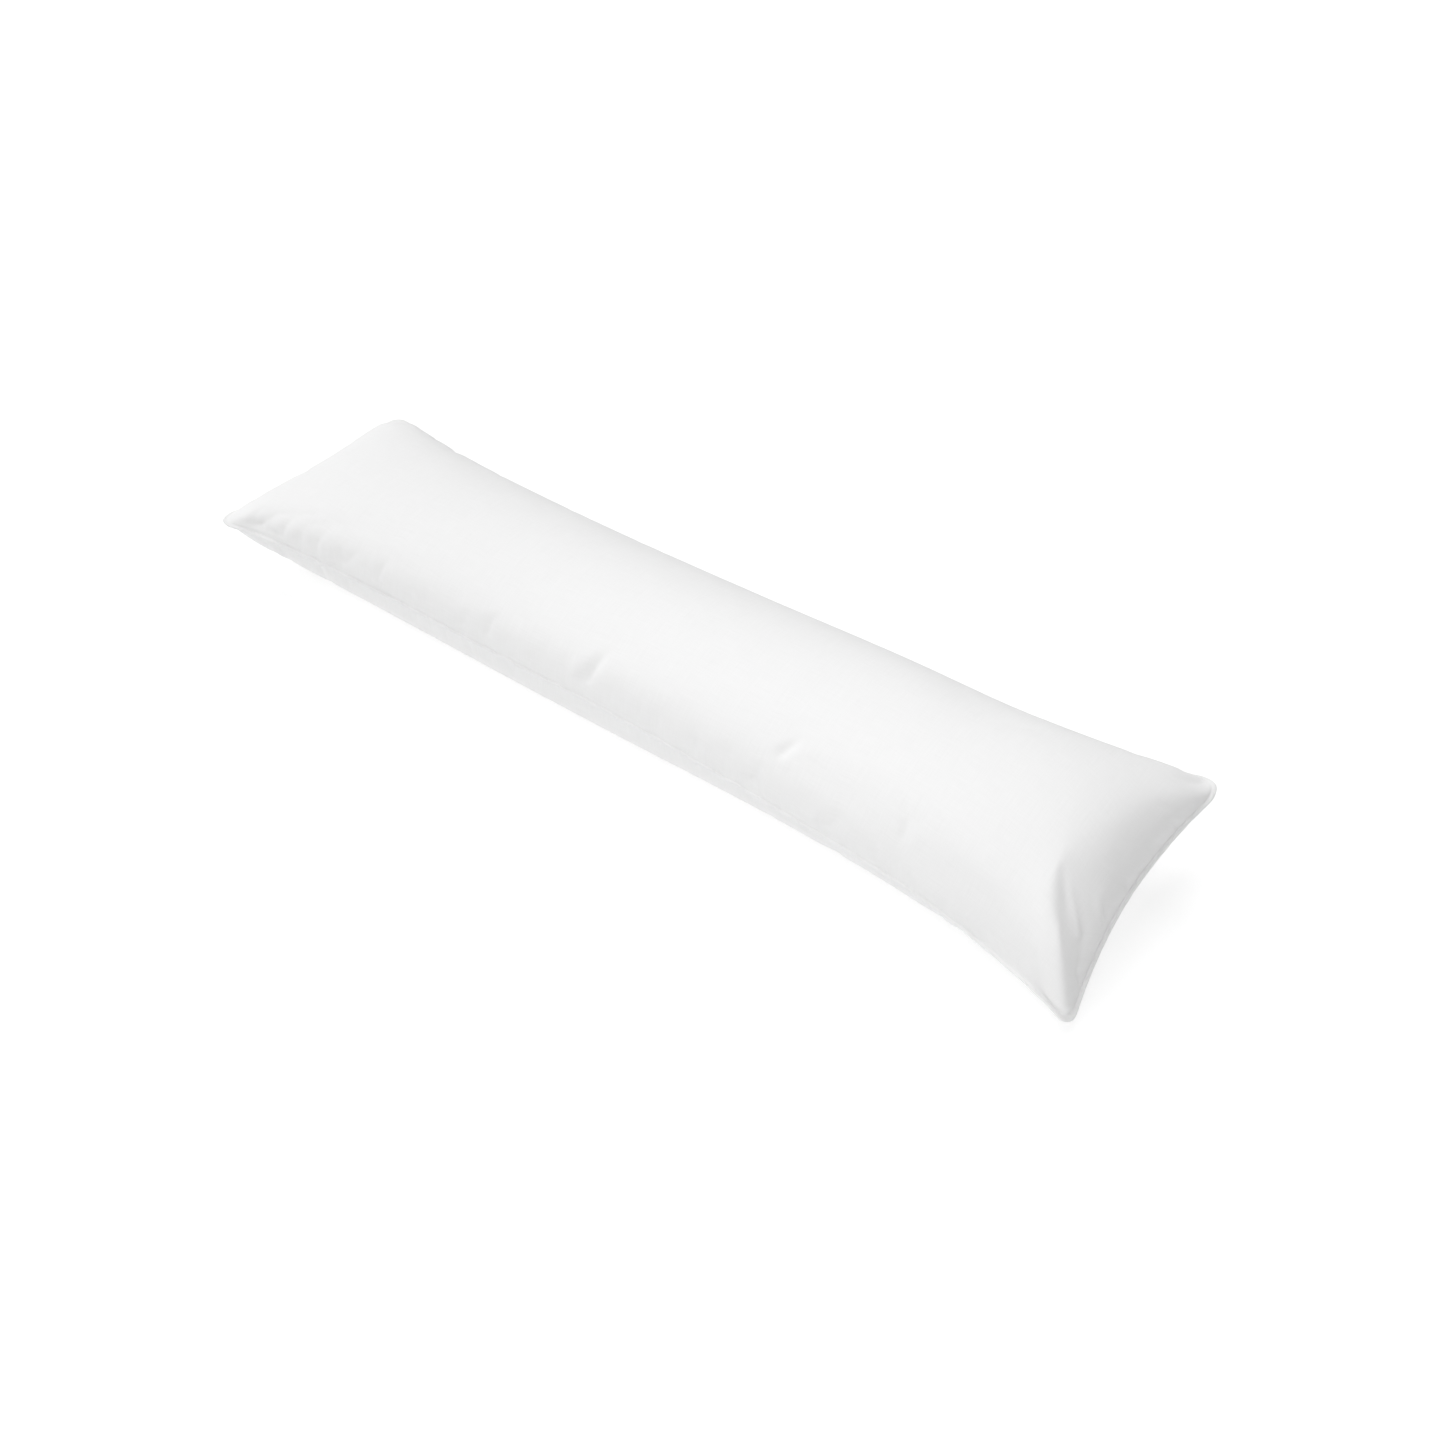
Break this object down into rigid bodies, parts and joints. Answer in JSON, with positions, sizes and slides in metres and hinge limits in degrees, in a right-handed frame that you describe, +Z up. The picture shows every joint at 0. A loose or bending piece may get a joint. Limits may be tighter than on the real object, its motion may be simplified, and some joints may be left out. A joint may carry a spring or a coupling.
{
  "type": "body pillow",
  "caption": "Long filled body pillow in plain white cotton: rounded crown, sides drawn in between pointed corners, seam all round and a flat underside to lie on.",
  "frame": {"origin": "centre of the bounding box in plan, on the surface that the pillow lies on", "axes": "+X along the pillow toward its fuller end with the drooping corner, -Y toward the long side whose seam runs low, +Z up"},
  "size_m": [1.4132, 0.3706, 0.1608],
  "materials": {
    "white_cotton": "matte, fine plain weave"
  },
  "bodies": {
    "root": {"pillow": "white_cotton"}
  },
  "joints": []
}
